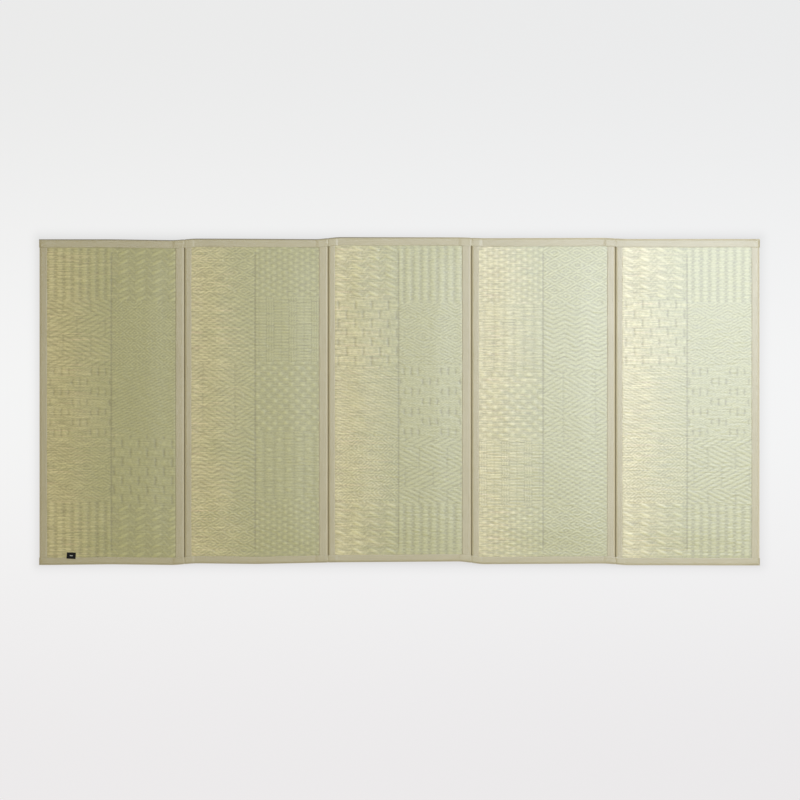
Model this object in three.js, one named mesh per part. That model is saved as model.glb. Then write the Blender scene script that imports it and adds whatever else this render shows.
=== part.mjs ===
// A five-panel folding rush mat, laid open and flat on the floor. Millimetres, +Z up.
// +X runs along the mat from panel 1 to panel 5, and +Y from its near long edge to its far one.

import * as THREE from "three";
import { mergeVertices } from "three/addons/utils/BufferGeometryUtils.js";

// Driving dimensions
const matLength = 2100; // over the end tapes
const tapeThick = 1;
const seatGap = 0.3; // between pieces that touch
const layer = tapeThick + seatGap;
const padTop = 22.4; // the pad's face along its sewn edges
const topRoll = 4.5; // radius of the pad's upper edges
const footRoll = 4; // radius of its lower edges
const crownRise = 1.8; // how much the rush face swells inside the tapes
const crownFrom = 28; // the swelling starts this far inside the pad's edge
const crownTo = 110;
const grooveDepth = 0.2; // the line down the middle of each rush face
const grooveHalf = 4;
const farTape = 25; // visible widths of the long bindings and the end tapes
const nearTape = 22;
const leftTape = 22.5;
const rightTape = 23.5;
const underLeg = 20; // how far each wrapped tape reaches on the underside
const underSeat = 22; // the pad's underside is raised by one tape out to here
const tuck = 12; // fold and end tapes stop this far inside the pad's long edges
const cornerCut = 3; // the pads' corners are drawn in by this much each way
const slotHalf = 0.4; // half the slot left between the two sides of a fold
const liftClear = 1.5; // a long binding is lifted this far past a tape that it crosses
const liftRamp = 6; // and comes down again over this length

// How far the outer long edges lie from the mat's middle line, near each panel's left end, at its
// middle and near its right end: each panel has slipped a little
const slips = [
  { farLeft: 474.1, farMiddle: 474.1, farRight: 471.5, nearLeft: 476.2, nearMiddle: 474.1, nearRight: 476.2 },
  { farLeft: 476.2, farMiddle: 475.5, farRight: 474.4, nearLeft: 471.2, nearMiddle: 473.2, nearRight: 469.5 },
  { farLeft: 480.5, farMiddle: 480.1, farRight: 479.7, nearLeft: 468.3, nearMiddle: 467.0, nearRight: 465.7 },
  { farLeft: 477.3, farMiddle: 477.7, farRight: 478.2, nearLeft: 473.8, nearMiddle: 472.8, nearRight: 471.8 },
  { farLeft: 475.0, farMiddle: 475.0, farRight: 475.0, nearLeft: 476.7, nearMiddle: 477.0, nearRight: 477.5 },
];

// The four folds, with the width of tape that shows on the panel to each side
const folds = [
  { x: -627, left: 26, right: 20.5 },
  { x: -208, left: 27, right: 20 },
  { x: 210, left: 27.5, right: 22 },
  { x: 630, left: 25, right: 20.5 },
];

const label = { x: -957, y: -448.5, length: 26, width: 18, thick: 0.5, turn: -3 };

// Levels and planes worked out from those
const topCentre = padTop - topRoll; // height of the upper roll's centre
const footCentre = layer + footRoll;
const middleHeight = (topCentre + footCentre) / 2;
const padEnd = matLength / 2 - layer; // the end planes of the first and last pad
const foldHalf = slotHalf + layer; // from a fold's middle to the pads beside it
const rollAngles = [0, 30, 60, 90].map(THREE.MathUtils.degToRad);
const panelEnds = [-padEnd, ...folds.flatMap((fold) => [fold.x - foldHalf, fold.x + foldHalf]), padEnd];
const panels = slips.map((slip, i) => ({ ...slip, left: panelEnds[2 * i], right: panelEnds[2 * i + 1] }));

// The corners of the long edges' outline, in order along the mat
const edges = panels.flatMap((p) => [
  { x: p.left + crownFrom, far: p.farLeft, near: p.nearLeft },
  { x: (p.left + p.right) / 2, far: p.farMiddle, near: p.nearMiddle },
  { x: p.right - crownFrom, far: p.farRight, near: p.nearRight },
]);

const { clamp, lerp, smoothstep } = THREE.MathUtils;
const colours = { rush: 0xc5be97, tape: 0xc3bca0, label: 0x1b1a1b };

// How far the outer edge on one side lies from the middle line, at x
function edgeAt(side, x) {
  const next = edges.findIndex((row) => row.x > x);
  if (next === 0) return edges[0][side];
  if (next === -1) return edges.at(-1)[side];
  const from = edges[next - 1];
  const to = edges[next];
  return lerp(from[side], to[side], (x - from.x) / (to.x - from.x));
}

// A closed block on a grid of stations, with each grid point put where place says
function gridBlock(across, along, up, place) {
  const divisions = [across, along, up].map((stations) => stations.length - 1);
  const box = new THREE.BoxGeometry(1, 1, 1, ...divisions);
  box.deleteAttribute("normal");
  box.deleteAttribute("uv");
  const block = mergeVertices(box, 1e-5);
  const points = block.attributes.position;
  const station = (value, list) => list[Math.round((value + 0.5) * (list.length - 1))];
  for (let i = 0; i < points.count; i++) {
    const a = station(points.getX(i), across);
    const b = station(points.getY(i), along);
    const c = station(points.getZ(i), up);
    points.setXYZ(i, ...place(a, b, c));
  }
  return facingOut(block);
}

// Turns every triangle round if the block came out inside out
function facingOut(block) {
  const points = block.attributes.position;
  const index = block.index;
  const corner = (i) => new THREE.Vector3().fromBufferAttribute(points, index.getX(i));
  let volume = 0;
  for (let i = 0; i < index.count; i += 3) {
    volume += corner(i).dot(corner(i + 1).cross(corner(i + 2)));
  }
  if (volume < 0) {
    for (let i = 0; i < index.count; i += 3) {
      const first = index.getX(i);
      index.setX(i, index.getX(i + 1));
      index.setX(i + 1, first);
    }
  }
  block.computeVertexNormals();
  return block;
}

function piece(name, geometry, slot, roughness) {
  const material = new THREE.MeshStandardMaterial({ color: colours[slot], roughness, metalness: 0 });
  const mesh = new THREE.Mesh(geometry, material);
  mesh.name = name;
  return mesh;
}

// The pad's rush face, from the distances to its nearest end and its nearest long edge
function faceHeight(fromEnd, fromSide, fromMiddle) {
  const swell = smoothstep(fromEnd, crownFrom, crownTo) * smoothstep(fromSide, crownFrom, crownTo);
  const groove = Math.max(0, 1 - Math.abs(fromMiddle) / grooveHalf);
  return padTop + crownRise * swell - grooveDepth * groove * smoothstep(fromSide, crownFrom, crownTo / 2);
}

// The pad's underside lies on the floor, and is raised over the wrapped tapes
function soleHeight(fromEnd, fromSide) {
  return layer * (1 - smoothstep(Math.min(fromEnd, fromSide), underSeat, crownFrom));
}

// Round the pad from its sole to its face: each level's height and how far it is drawn in
const padLevels = [
  { height: layer, inset: footRoll, sole: true },
  { height: footCentre, inset: 0 },
  ...rollAngles
    .toReversed()
    .slice(0, -1)
    .map((a) => ({ height: topCentre + topRoll * Math.cos(a), inset: topRoll * (1 - Math.sin(a)) })),
  { height: padTop, inset: topRoll, face: true },
];

function panel(name, left, right) {
  const length = right - left;
  const middle = (left + right) / 2;
  const half = length / 2;
  const rim = [0, underSeat, crownFrom, 60, crownTo];
  const lengthwise = [
    ...rim,
    half - grooveHalf,
    half,
    half + grooveHalf,
    ...rim.toReversed().map((from) => length - from),
  ];
  const widthwise = [
    ...rim.map((from) => ({ share: 0, from })),
    ...[0.25, 0.5, 0.75].map((share) => ({ share, from: crownTo })),
    ...rim.toReversed().map((from) => ({ share: 1, from })),
  ];
  const geometry = gridBlock(lengthwise, widthwise, padLevels, (u, v, level) => {
    const atCorner = v.from === 0 && (u === 0 || u === length);
    const inset = level.inset + (atCorner ? cornerCut : 0);
    const along = clamp(u, inset, length - inset);
    const from = Math.max(v.from, inset);
    const x = left + along;
    const near = -edgeAt("near", x) + layer + from;
    const far = edgeAt("far", x) - layer - from;
    const fromEnd = Math.min(along, length - along);
    const fromSide = from + Math.min(v.share, 1 - v.share) * (far - near);
    let z = level.height;
    if (level.face) z = faceHeight(fromEnd, fromSide, along - half);
    if (level.sole) z = soleHeight(fromEnd, fromSide);
    return [x - middle, lerp(near, far, v.share), z];
  });
  const mesh = piece(name, geometry, "rush", 0.75);
  mesh.position.x = middle;
  return mesh;
}

// A tape's run over a pad's upper edge, from its free edge on the face down to the side.
// Each station has its distance from the pad's edge plane, its height, and the way out of the pad.
function overUpperEdge(width) {
  const rolled = rollAngles.map((a) => ({
    from: topRoll * (1 - Math.sin(a)),
    height: topCentre + topRoll * Math.cos(a),
    out: -Math.sin(a),
    up: Math.cos(a),
  }));
  return [{ from: width - layer, height: padTop, out: 0, up: 1 }, ...rolled];
}

// The rest of a tape that wraps the edge: round the lower edge and along the underside
const roundLowerEdge = [
  { from: 0, height: footCentre, out: -1, up: 0 },
  { from: footRoll, height: layer, out: 0, up: -1 },
  { from: underLeg, height: layer, out: 0, up: -1 },
];

function foldTape(name, fold) {
  const left = overUpperEdge(fold.left + layer - foldHalf).map((s) => ({ ...s, side: -1 }));
  const right = overUpperEdge(fold.right + layer - foldHalf).map((s) => ({ ...s, side: 1 }));
  const bottom = { from: 0, height: tapeThick, out: -1, up: 1 };
  const section = [...left, { ...bottom, side: -1 }, { ...bottom, side: 1 }, ...right.toReversed()];
  const geometry = gridBlock(section, ["near", "far"], [0, 1], (s, edge, outer) => {
    const off = seatGap + tapeThick * outer;
    const x = s.side * (foldHalf + s.from + s.out * off);
    const y = (edgeAt(edge, fold.x + x) - layer - tuck) * (edge === "far" ? 1 : -1);
    return [x, y, s.height + s.up * off];
  });
  const mesh = piece(name, geometry, "tape", 0.85);
  mesh.position.x = fold.x;
  return mesh;
}

// An end tape stops under the long bindings on the face, and beside them on the underside
function endTape(name, side, width) {
  const section = [...overUpperEdge(width), ...roundLowerEdge];
  const geometry = gridBlock(section, ["near", "far"], [0, 1], (s, edge, outer) => {
    const off = seatGap + tapeThick * outer;
    const x = side * (padEnd - s.from - s.out * off);
    const stop = s.height < topCentre ? underSeat : tuck;
    const y = (edgeAt(edge, side * padEnd) - layer - stop) * (edge === "far" ? 1 : -1);
    return [x, y, s.height + s.up * off];
  });
  return piece(name, geometry, "tape", 0.85);
}

// 1 where a long binding passes over a fold tape or an end tape, and 0 away from them
function liftAt(x) {
  const overFold = folds.map((fold) => {
    const past = Math.max(fold.x - fold.left - x, x - fold.x - fold.right);
    return 1 - clamp((past - liftClear) / liftRamp, 0, 1);
  });
  const fromLeft = 1 - clamp((x + padEnd - leftTape - liftClear) / liftRamp, 0, 1);
  const fromRight = 1 - clamp((padEnd - x - rightTape - liftClear) / liftRamp, 0, 1);
  return Math.max(...overFold, fromLeft, fromRight);
}

// How much height an elliptical roll has gained at a distance in from its outermost point
function rollHeight(inwards, across, up) {
  const share = 1 - clamp(inwards / across, 0, 1);
  return up * Math.sqrt(1 - share * share);
}

// A long binding: wrapped round the long edge, lifted over the tapes, and closed over the mat's corners
function longBinding(name, edge, width) {
  const outwards = edge === "far" ? 1 : -1;
  const [inner, ...rolled] = overUpperEdge(width);
  const lifts = [0.75, 0.4, 0.1, 0];
  const section = [
    { ...inner, lift: 1 },
    { ...inner, from: tuck - 1, lift: 1 },
    ...rolled.map((s, i) => ({ ...s, lift: lifts[i] })),
    ...roundLowerEdge.map((s) => ({ ...s, lift: 0 })),
  ];
  const rolledEnd = (side) => [
    { side, angle: Math.PI / 2, closing: true },
    ...rollAngles.toReversed().map((angle) => ({ side, angle })),
  ];
  const besideTapes = folds.flatMap((fold) => [
    fold.x - fold.left - liftClear - liftRamp,
    fold.x - fold.left - liftClear,
    fold.x,
    fold.x + fold.right + liftClear,
    fold.x + fold.right + liftClear + liftRamp,
  ]);
  const besideEnds = [liftClear, liftClear + liftRamp].flatMap((past) => [
    leftTape + past - padEnd,
    padEnd - rightTape - past,
  ]);
  const between = [...edges.map((row) => row.x), ...besideTapes, ...besideEnds]
    .sort((a, b) => a - b)
    .map((x) => ({ x }));
  const stations = [...rolledEnd(-1), ...between, ...rolledEnd(1).toReversed()];
  const geometry = gridBlock(stations, section, [0, 1], (station, s, outer) => {
    const plain = seatGap + tapeThick * outer;
    const overEnd = plain + layer;
    const x = station.x ?? station.side * (padEnd - topRoll + (topRoll + overEnd) * Math.sin(station.angle));
    const off = plain + layer * s.lift * liftAt(x);
    const inwards = padEnd + overEnd - Math.abs(x);
    const highest = topCentre + rollHeight(inwards, topRoll + overEnd, topRoll + overEnd);
    const lowest = footCentre - rollHeight(inwards, footRoll + overEnd, footRoll + plain);
    let z = clamp(s.height + s.up * off, lowest, highest);
    if (station.closing) z = lerp(middleHeight, z, 0.04);
    const y = edgeAt(edge, x) - layer - s.from - s.out * off;
    return [x, outwards * y, z];
  });
  return piece(name, geometry, "tape", 0.85);
}

// The label lies over the near binding's inner edge, on the binding and on the rush
function wovenLabel() {
  const turn = THREE.MathUtils.degToRad(label.turn);
  const spread = (size, count) => Array.from({ length: count }, (_, i) => size * (i / (count - 1) - 0.5));
  const geometry = gridBlock(spread(label.length, 4), spread(label.width, 10), [0, 1], (u, v, up) => {
    const x = label.x + u * Math.cos(turn) - v * Math.sin(turn);
    const y = label.y + u * Math.sin(turn) + v * Math.cos(turn);
    const beyond = y + edgeAt("near", x) - nearTape; // from the binding's inner edge onto the rush
    const step = layer * (1 - smoothstep(beyond, 0.6, 3.6));
    return [u, v, padTop + seatGap + step + label.thick * up];
  });
  const mesh = piece("label", geometry, "label", 0.7);
  mesh.position.set(label.x, label.y, 0);
  mesh.rotation.z = turn;
  return mesh;
}

const mat = new THREE.Group();

panels.forEach((p, i) => mat.add(panel(`panel_${i + 1}`, p.left, p.right)));
folds.forEach((fold, i) => mat.add(foldTape(`fold_tape_${i + 1}`, fold)));
mat.add(endTape("end_tape_left", -1, leftTape));
mat.add(endTape("end_tape_right", 1, rightTape));
mat.add(longBinding("binding_far", "far", farTape));
mat.add(longBinding("binding_near", "near", nearTape));
mat.add(wovenLabel());

// The origin is on the floor, under the middle of the mat's outline
const widest = (side) => Math.max(...edges.map((row) => row[side]));
mat.position.y = (widest("near") - widest("far")) / 2;

export default mat;
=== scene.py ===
import math

import bpy
import numpy as np
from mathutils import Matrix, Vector


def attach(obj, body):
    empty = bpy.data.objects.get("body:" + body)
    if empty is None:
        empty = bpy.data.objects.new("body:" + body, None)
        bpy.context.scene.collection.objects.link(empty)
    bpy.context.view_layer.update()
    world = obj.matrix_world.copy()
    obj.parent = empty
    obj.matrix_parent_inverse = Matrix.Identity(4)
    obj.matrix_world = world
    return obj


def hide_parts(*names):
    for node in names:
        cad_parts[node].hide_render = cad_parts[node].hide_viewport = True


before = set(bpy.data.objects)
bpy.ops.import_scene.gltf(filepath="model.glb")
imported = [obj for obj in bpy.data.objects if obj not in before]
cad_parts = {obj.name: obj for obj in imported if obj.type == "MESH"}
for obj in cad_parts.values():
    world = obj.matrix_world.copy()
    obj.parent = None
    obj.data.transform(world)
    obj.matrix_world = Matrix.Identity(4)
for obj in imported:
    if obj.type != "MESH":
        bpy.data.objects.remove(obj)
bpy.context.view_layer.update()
print("frame loaded")

# The mat is modelled straight, in metres, and then slipped sideways panel by panel, as it lies.
# +X runs along it from panel 1 to panel 5, and +Y from its near long edge to its far one.
mat = {
    "length": 2.1,
    "width": 0.95,
    "padTop": 0.0224,
    "topRoll": 0.0045,
    "footRoll": 0.004,
    "tapeThick": 0.001,
    "seatGap": 0.0003,
    "farTape": 0.025,
    "nearTape": 0.022,
    "leftTape": 0.0225,
    "rightTape": 0.0235,
    "underLeg": 0.020,
    "tuck": 0.012,
}
gap = mat["seatGap"]
layer = mat["tapeThick"] + gap
halfWidth = mat["width"] / 2
topCentre = mat["padTop"] - mat["topRoll"]
footCentre = layer + mat["footRoll"]
padEnd = mat["length"] / 2 - layer
tapeReach = halfWidth - layer - mat["tuck"]

# Each fold, with the width of tape that shows on the panel to each side
folds = [
    {"x": -0.627, "left": 0.026, "right": 0.0205},
    {"x": -0.208, "left": 0.027, "right": 0.020},
    {"x": 0.210, "left": 0.0275, "right": 0.022},
    {"x": 0.630, "left": 0.025, "right": 0.0205},
]
slotHalf = 0.0004
foldHalf = slotHalf + layer
hair = 1e-6  # what lies closer than this is at the same place

# How far each panel's long edges lie from the middle line: near its left end, halfway and near its right end
slips = [
    {"far": (0.4741, 0.4741, 0.4715), "near": (0.4762, 0.4741, 0.4762)},
    {"far": (0.4762, 0.4755, 0.4744), "near": (0.4712, 0.4732, 0.4695)},
    {"far": (0.4805, 0.4801, 0.4797), "near": (0.4683, 0.4670, 0.4657)},
    {"far": (0.4773, 0.4777, 0.4782), "near": (0.4738, 0.4728, 0.4718)},
    {"far": (0.4750, 0.4750, 0.4750), "near": (0.4767, 0.4770, 0.4775)},
]
slipReach = 0.028
panelEnds = [-padEnd]
for fold in folds:
    panelEnds += [fold["x"] - foldHalf, fold["x"] + foldHalf]
panelEnds.append(padEnd)
slipStations = []
for number in range(len(slips)):
    left, right = panelEnds[2 * number], panelEnds[2 * number + 1]
    slipStations += [left + slipReach, (left + right) / 2, right - slipReach]
middleShift = (max(max(row["near"]) for row in slips) - max(max(row["far"]) for row in slips)) / 2


def slipAt(side, x):
    table = [value for row in slips for value in row[side]]
    spread = (-0.010, -0.005, 0.0, 0.005, 0.010)
    return sum(np.interp(x + step, slipStations, table) for step in spread) / len(spread)


def smooth(value, low, high):
    share = np.clip((value - low) / (high - low), 0, 1)
    return share * share * (3 - 2 * share)


def bell(distance, halfWide):
    # 1 in the middle, and near 0 past twice halfWide
    return np.exp(-((distance / halfWide) ** 2))


def within(distance, full, none):
    # 1 nearer to the middle than full, and 0 beyond none
    return 1 - smooth(np.abs(distance), full, none)


def settle(points):
    # from the straight mat to the mat as it lies
    share = points[:, 1] / mat["width"] + 0.5
    far = slipAt("far", points[:, 0]) - halfWidth
    near = slipAt("near", points[:, 0]) - halfWidth
    points[:, 1] += share * far - (1 - share) * near + middleShift
    return points


def readPoints(piece):
    points = np.zeros(len(piece.data.vertices) * 3)
    piece.data.vertices.foreach_get("co", points)
    return points.reshape(-1, 3)


def writePoints(piece, points):
    piece.data.vertices.foreach_set("co", points.astype(np.float32).ravel())
    piece.data.update()


def toEdit():
    bpy.ops.object.mode_set(mode="EDIT")


def toObject():
    bpy.ops.object.mode_set(mode="OBJECT")


def deselectAll():
    bpy.ops.object.select_all(action="DESELECT")


def pick(piece):
    deselectAll()
    piece.select_set(True)
    bpy.context.view_layer.objects.active = piece


def rename(piece, name):
    piece.name = name
    piece.data.name = name


def placeInMesh(piece):
    pick(piece)
    bpy.ops.object.transform_apply(location=True, rotation=True, scale=True)


def applyModifiers(piece):
    pick(piece)
    for modifier in list(piece.modifiers):
        bpy.ops.object.modifier_apply(modifier=modifier.name)


def paintPoints(piece, name, values):
    attribute = piece.data.attributes.new(name, "FLOAT", "POINT")
    attribute.data.foreach_set("value", np.asarray(values, dtype=np.float32))


def gridSheet(name, across, along):
    # a grid primitive, with the row and column of each of its points
    deselectAll()
    bpy.ops.mesh.primitive_grid_add(x_subdivisions=across - 1, y_subdivisions=along - 1, size=1)
    piece = bpy.context.object
    rename(piece, name)
    points = readPoints(piece)
    column = np.rint((points[:, 0] + 0.5) * (across - 1)).astype(int)
    row = np.rint((points[:, 1] + 0.5) * (along - 1)).astype(int)
    return piece, column, row


def layUv(piece, u, v):
    # the sheet's own flat coordinates, in metres
    uvLayer = piece.data.uv_layers.active
    uvLayer.name = "flat"
    corner = np.zeros(len(piece.data.loops), dtype=np.int32)
    piece.data.loops.foreach_get("vertex_index", corner)
    pairs = np.stack([u[corner], v[corner]], axis=1)
    uvLayer.data.foreach_set("uv", pairs.astype(np.float32).ravel())


def faceOut(piece, outward):
    # turns the sheet over if its faces look away from outward, which holds a direction for each point
    piece.data.update()
    normals = np.zeros(len(piece.data.vertices) * 3)
    piece.data.vertices.foreach_get("normal", normals)
    if (normals.reshape(-1, 3) * outward).sum() < 0:
        pick(piece)
        toEdit()
        bpy.ops.mesh.select_all(action="SELECT")
        bpy.ops.mesh.flip_normals()
        toObject()


def smoothShade(piece, angle=40):
    pick(piece)
    bpy.ops.object.shade_smooth_by_angle(angle=math.radians(angle))


class Wire:
    # one output socket, which can be added, subtracted and multiplied as a number is
    def __init__(self, finish, socket):
        self.finish = finish
        self.socket = socket

    def maths(self, operation, first, second=0.0):
        return self.finish.node("ShaderNodeMath", {"operation": operation}, {0: first, 1: second})

    def __add__(self, other):
        return self.maths("ADD", self, other)

    def __radd__(self, other):
        return self.maths("ADD", other, self)

    def __sub__(self, other):
        return self.maths("SUBTRACT", self, other)

    def __rsub__(self, other):
        return self.maths("SUBTRACT", other, self)

    def __mul__(self, other):
        return self.maths("MULTIPLY", self, other)

    def __rmul__(self, other):
        return self.maths("MULTIPLY", other, self)

    def __pow__(self, other):
        return self.maths("POWER", self, other)

    def wave(self):
        return self.maths("SINE", self)

    def size(self):
        return self.maths("ABSOLUTE", self)

    def floor(self):
        return self.maths("FLOOR", self)

    def atLeast(self, low):
        return self.maths("MAXIMUM", self, low)

    def over(self, edge, soft):
        # 0 below edge, 1 above it, over a soft step
        step = {"data_type": "FLOAT", "interpolation_type": "SMOOTHSTEP"}
        inputs = {"Value": self, "From Min": edge - soft, "From Max": edge + soft}
        return self.finish.node("ShaderNodeMapRange", step, inputs)


class Finish:
    # one material, and the only place where its nodes are made
    def __init__(self, name):
        self.material = bpy.data.materials.new(name)
        self.material.use_nodes = True
        self.tree = self.material.node_tree
        self.shader = self.tree.nodes["Principled BSDF"]

    def node(self, kind, settings=None, inputs=None, output=0):
        made = self.tree.nodes.new(kind)
        for key, value in (settings or {}).items():
            setattr(made, key, value)
        for key, value in (inputs or {}).items():
            self.feed(made.inputs[key], value)
        return Wire(self, made.outputs[output])

    def feed(self, socket, value):
        if isinstance(value, Wire):
            self.tree.links.new(value.socket, socket)
        else:
            socket.default_value = value

    def surface(self, **sockets):
        for name, value in sockets.items():
            self.feed(self.shader.inputs[name.replace("_", " ")], value)

    def blend(self, factor, first, second, mode="MIX"):
        settings = {"data_type": "RGBA", "blend_type": mode, "clamp_result": False}
        return self.node("ShaderNodeMix", settings, {0: factor, 6: first, 7: second}, 2)

    def objectPlace(self):
        return self.node("ShaderNodeTexCoord", output="Object")

    def attribute(self, name):
        return self.node("ShaderNodeAttribute", {"attribute_name": name}, output="Fac")

    def noise(self, place, scale, detail=2.0, stretch=(1, 1, 1), roughness=0.5):
        mapping = self.node("ShaderNodeMapping", {}, {"Vector": place, "Scale": stretch})
        inputs = {"Vector": mapping, "Scale": scale, "Detail": detail, "Roughness": roughness}
        return self.node("ShaderNodeTexNoise", {"noise_dimensions": "3D"}, inputs)

    def parts(self, place, axis):
        return self.node("ShaderNodeSeparateXYZ", {}, {"Vector": place}, axis)

    def joined(self, x, y, z):
        return self.node("ShaderNodeCombineXYZ", {}, {0: x, 1: y, 2: z})

    def bump(self, height, distance, strength=1.0):
        return self.node("ShaderNodeBump", {}, {"Height": height, "Distance": distance, "Strength": strength})


# The weaves of the rush face. Each gives a height from 0 to 1, from distances in mm: u from the block's
# left side and v down from its top
warpPitch = 24.3  # the warps that tie the pattern down lie this far apart


def ridge(turns, sharpness=0.6):
    # rounded tops with narrow grooves between, one to each whole number
    return np.abs(np.cos(np.pi * turns)) ** sharpness


def zigzag(turns, turnAt=0.5):
    # climbs from 0 to 1 as turns goes from 0 to turnAt, and falls back by 1
    part = turns - np.floor(turns)
    return np.where(part < turnAt, part / turnAt, (1 - part) / (1 - turnAt))


def offsetCells(u, v, wide, tall):
    # distances from the middle of cells whose every second column is half a cell down
    column = np.round(u / wide)
    shift = 0.5 * np.mod(column, 2)
    row = np.round(v / tall - shift)
    return u - column * wide, v - (row + shift) * tall


def dome(du, dv, halfWide, halfTall):
    return np.exp(-((du / halfWide) ** 2) - (dv / halfTall) ** 2)


def waves(u, v):
    turn, stack, drop, fallShare = 2 * warpPitch, 13.4, 15, 0.66
    part = np.mod(u / turn, 1)
    falling = part < fallShare
    leaf = np.where(falling, np.sin(np.pi * np.minimum(part / fallShare, 1)) ** 0.6, 0.35)
    middle = drop * zigzag(u / turn, fallShare) + np.where(falling, 0, 0.5 * stack)
    turns = (v - middle) / stack
    strong = 0.75 + 0.25 * np.cos(np.pi * np.round(turns))
    return ridge(turns, 0.8) * strong * (0.3 + 0.7 * leaf)


def tortoise(u, v):
    tall, knotDown, swellAside, linePitch = 54.3, 27.1, 8, 6.4
    du, dv = offsetCells(u - 9.7, v - 20.5, warpPitch, tall)
    bar = bell(du, 2.9) * within(dv, 10, 17)
    swell = bell(np.abs(du) - swellAside, 4.5) * within(dv, 4, 16)
    knot = dome(du, np.abs(dv) - knotDown, 5.5, 6.5)
    return 0.52 - 0.52 * bar + 0.2 * swell + 0.4 * knot + 0.15 * ridge(v / linePitch)


def smallTwill(u, v):
    pitch, climb = 9.1, 0.47
    ties = ridge((u + 0.4 * v) / (warpPitch / 2), 0.4)
    return ridge((v - climb * u) / pitch) * (0.72 + 0.28 * ties)


def wayOut(du, dv, wide, tall):
    # from 0 in the middle of a diamond to 1 at its edge, and down again past it
    outwards = np.abs(du) / wide + 2 * np.abs(dv) / tall
    return np.minimum(outwards, 2 - outwards)


def diamonds(u, v, wide, tall, rings):
    du, dv = offsetCells(u, v, wide, tall)
    return 0.5 + 0.5 * np.cos(2 * np.pi * rings * wayOut(du, dv, wide, tall))


def rosettes(u, v):
    return diamonds(u - 17, v - 31.5, wide=29.2, tall=45.5, rings=2.5)


def wavesBack(u, v):
    return waves(21.4 - u, v)


def twillBack(u, v):
    return smallTwill(-u, v)


def rosettesBack(u, v):
    return rosettes(u - 17, v - 3.9)


def ribs(u, v):
    toothPitch, toothLong = 11.15, 2.6
    turns = (u - 4.9) / warpPitch
    teeth = np.cos(2 * np.pi * v / toothPitch)
    onRib = 1 - smooth(np.abs(turns - np.round(turns)) * warpPitch - toothLong * teeth, 3.5, 8)
    return onRib * (0.85 + 0.15 * teeth) + (1 - onRib) * 0.22 * (1 - teeth)


def fence(u, v, rowTall, groupWide, pitch, lean, slot):
    # leaning strips in rows of groups. The lean changes from row to row and each row starts half a group on
    row = np.floor((v + 0.16 * rowTall * zigzag(u / groupWide)) / rowTall)
    odd = np.mod(row, 2)
    turns = u / groupWide + 0.5 * odd
    across = (turns - np.round(turns)) * groupWide
    way = np.where(odd < 1, lean, -lean)
    groove = smooth(groupWide / 2 - np.abs(across), 0, slot)
    return ridge((v + way * across) / pitch) * (0.45 + 0.55 * groove)


def fineFence(u, v):
    rowTall, groupWide, drop, pitch = 58, 94, 26, 9.2
    flipped = 0.5 * np.mod(np.floor((v + 15) / rowTall), 2)
    return ridge((v + drop * zigzag((u + 22) / groupWide + flipped)) / pitch)


def cypressFence(u, v):
    return fence(u - 59.8, v + 33.7, rowTall=63.2, groupWide=81.5, pitch=14.0, lean=0.5, slot=5)


def roundels(u, v):
    wide, tall = 54, 59
    du, dv = offsetCells(u - 38, v - 20, wide, tall)
    lens = bell(du, 3.0) * within(dv, 9, 15)
    arcAside, arcBend = 21.5, 0.015
    arcs = bell(np.abs(du) - arcAside + arcBend * dv * dv, 2.8) * within(dv, 7, 13)
    outwards = wayOut(du, dv, wide, tall)
    ribbons = np.cos(9 * np.pi * outwards) * smooth(outwards, 0.5, 0.65)
    return 0.62 - 0.6 * np.maximum(lens, arcs) + 0.22 * ribbons


def smallBumps(u, v):
    wide, tall = 16.5, 18.2
    du, dv = offsetCells(u, v, wide, tall)
    return 0.15 + 0.85 * dome(du, dv, 5.8, 5.0)


def bricksAndBumps(u, v):
    wide, tall, linePitch = 28.9, 58.3, 8.6
    du, dv = offsetCells(u, v, wide, tall)
    dashes = (0.2 + 0.5 * ridge(v / linePitch)) * ridge(du / wide, 0.3)
    return np.maximum(dome(du, dv, 10, 7.5), dashes * smooth(np.hypot(du / 12, dv / 9), 0.8, 1.2))


def bigBumps(u, v):
    wide, tall, linePitch = 16.5, 32.1, 8.0
    du, dv = offsetCells(u + 3, v - 26, wide, tall)
    return np.maximum(dome(du, dv, 8.0, 6.6), 0.3 * ridge(v / linePitch))


def keyFret(u, v):
    wide, tall, uprightPitch, linePitch = 21.9, 35.6, 7.3, 8.9
    upright = np.mod(np.floor(u / wide), 3) < 1
    edge = smooth(wide / 2 - np.abs(np.mod(u, wide) - wide / 2), 0, 3)
    ends = smooth(tall / 2 - np.abs(np.mod(v, tall) - tall / 2), 0, 4)
    uprights = ridge(u / uprightPitch + 0.5) * (0.4 + 0.6 * ends)
    return np.where(upright, uprights, ridge(v / linePitch)) * (0.5 + 0.5 * edge)


def fineDiamonds(u, v):
    return diamonds(u, v, wide=33, tall=36.2, rings=2)


def chevrons(u, v):
    turn, drop, pitch = 64.9, 16, 13.55
    return ridge((v - drop * zigzag((u + 2.6) / turn)) / pitch)


def bigDiagonals(u, v):
    wide, tall, pitch, lean = 93.5, 60.7, 13.3, 0.6
    turns = (u - 59) / wide
    column = np.floor(turns)
    across = turns - column
    row = np.floor((v - 14) / tall)
    way = np.where(np.mod(column + row, 2) < 1, -lean, lean)
    groove = smooth(np.minimum(across, 1 - across) * wide, 0.5, 4.5)
    return ridge((v + way * across * wide) / pitch) * (0.6 + 0.4 * groove)


def scales(u, v):
    tall = 13.55
    return 0.5 + 0.5 * np.cos(2 * np.pi * u / warpPitch) * np.cos(2 * np.pi * v / tall)


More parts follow.
